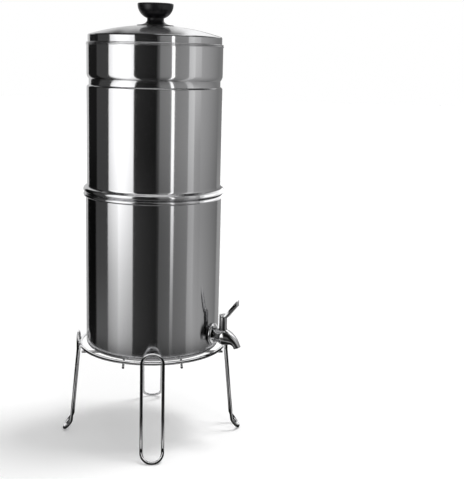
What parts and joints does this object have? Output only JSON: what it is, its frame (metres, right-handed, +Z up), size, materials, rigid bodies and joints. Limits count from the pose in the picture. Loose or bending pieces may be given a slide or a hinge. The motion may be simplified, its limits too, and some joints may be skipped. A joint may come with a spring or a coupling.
{
  "type": "gravity water filter",
  "caption": "Tall round steel water filter: a domed lid with a black knob on stacked upper and lower chambers, candles inside, a lever tap, and a welded wire stand with looped legs.",
  "frame": {"origin": "on the chambers' axis, at floor level under the stand's feet", "axes": "+Z up along the chambers' axis, -Y towards the stand's front leg; the tap points 28.5 degrees from +X towards -Y"},
  "size_m": [0.2972, 0.2972, 0.695],
  "materials": {
    "stand_wire": "bright chrome-plated wire",
    "vessel_steel": "mirror-polished stainless sheet",
    "tap_chrome": "bright chrome plate",
    "black_rubber": "matt black rubber",
    "tap_brass": "turned brass",
    "screw_steel": "turned steel",
    "candle_ceramic": "unglazed off-white ceramic",
    "candle_plastic": "dark blue moulded plastic",
    "nut_plastic": "white moulded plastic",
    "knob_phenolic": "satin black phenolic"
  },
  "bodies": {
    "stand": {"stand_ring": "stand_wire", "rest_wires_upper": "stand_wire", "rest_wires_lower": "stand_wire", "leg_front": "stand_wire", "leg_right": "stand_wire", "leg_back": "stand_wire", "leg_left": "stand_wire"},
    "lower_vessel": {"lower_chamber": "vessel_steel", "tap_body": "tap_chrome", "tap_flange": "tap_chrome", "tap_washer_outer": "black_rubber", "tap_washer_inner": "black_rubber", "tap_nut": "tap_brass", "tap_bonnet": "tap_chrome"},
    "lever": {"valve_plug": "tap_brass", "valve_rings": "black_rubber", "tap_lever": "tap_chrome", "lever_screw": "screw_steel"},
    "upper_vessel": {"upper_chamber": "vessel_steel", "candle_shell_left": "candle_ceramic", "candle_shell_right": "candle_ceramic", "candle_base_left": "candle_plastic", "candle_base_right": "candle_plastic", "candle_washers": "black_rubber", "wing_nut_left": "nut_plastic", "wing_nut_right": "nut_plastic", "blanking_plugs": "candle_plastic", "blanking_washers": "black_rubber", "blanking_nuts": "nut_plastic"},
    "lid": {"lid": "vessel_steel", "lid_knob": "knob_phenolic", "knob_insert": "tap_brass", "knob_screw": "screw_steel", "knob_washer": "screw_steel"}
  },
  "joints": [
    {"name": "lower_vessel_lift", "type": "slide", "parent": "stand", "child": "lower_vessel", "axis": [0, 0, 1], "range_m": [0, 0.05]},
    {"name": "tap_lever_turn", "type": "hinge", "parent": "lower_vessel", "child": "lever", "pos_m": [0.11161, -0.0606, 0.213], "axis": [0, 0, 1], "range_deg": [-90, 90]},
    {"name": "upper_vessel_lift", "type": "slide", "parent": "lower_vessel", "child": "upper_vessel", "axis": [0, 0, 1], "range_m": [0, 0.06]},
    {"name": "lid_lift", "type": "slide", "parent": "upper_vessel", "child": "lid", "axis": [0, 0, 1], "range_m": [0, 0.05]}
  ]
}
